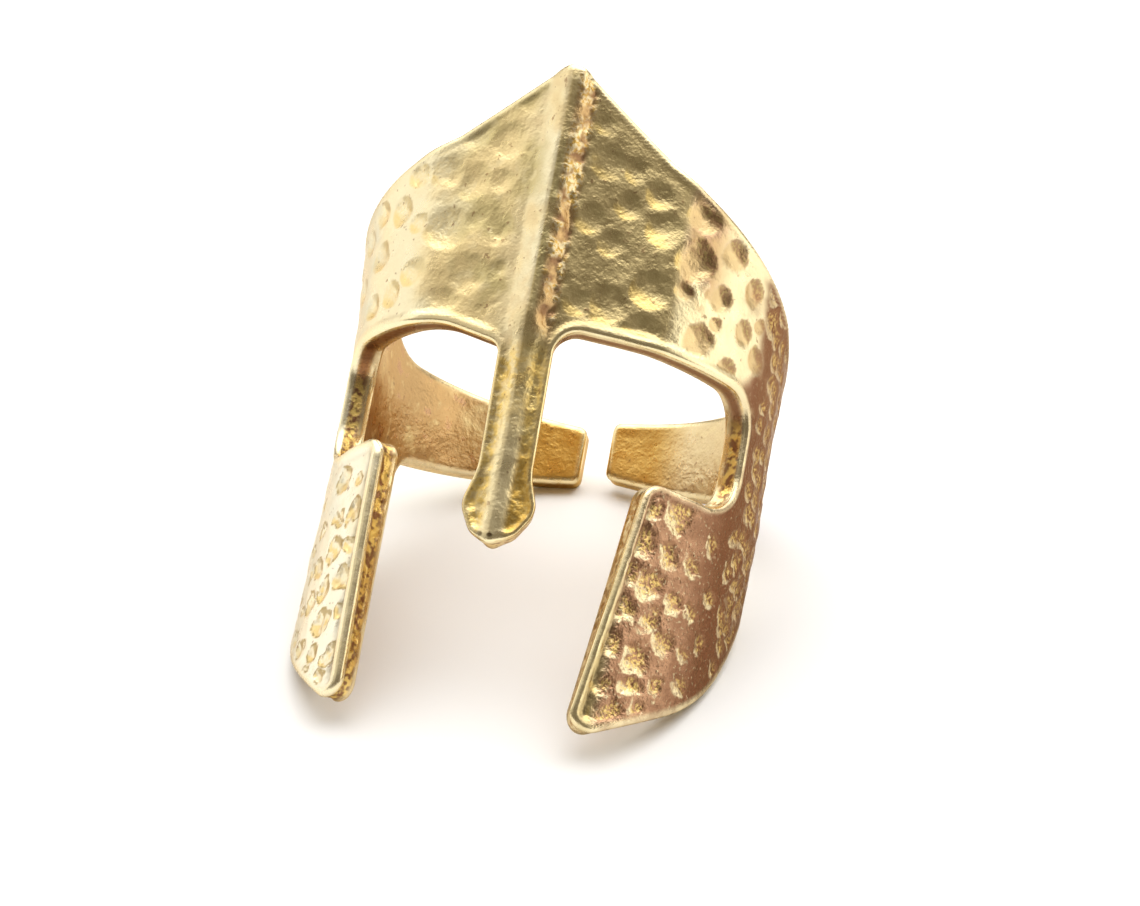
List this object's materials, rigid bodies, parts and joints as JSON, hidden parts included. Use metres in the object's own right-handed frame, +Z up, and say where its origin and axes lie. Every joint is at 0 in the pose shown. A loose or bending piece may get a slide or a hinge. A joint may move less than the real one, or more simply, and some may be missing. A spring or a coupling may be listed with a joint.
{
  "type": "helmet-shaped finger ring",
  "caption": "Open brass finger ring cast in the form of a ridged Greek helmet, with nose guard, cheek guards and a narrow band that can be squeezed to fit",
  "frame": {"origin": "centre of the bounding box in plan, on the surface that the ring leans on", "axes": "+Z up from that surface, -Y towards the side that the helmet's face looks to, +X to the viewer's right; the ring leans back, its finger axis tilted from +Z towards +Y"},
  "size_m": [0.0222, 0.0278, 0.0267],
  "materials": {
    "brass": "cast and hammered, satin on the crown, polished on rims and ridge, darker in the hollows"
  },
  "bodies": {
    "root": {"helmet_ring": "brass"}
  },
  "joints": []
}
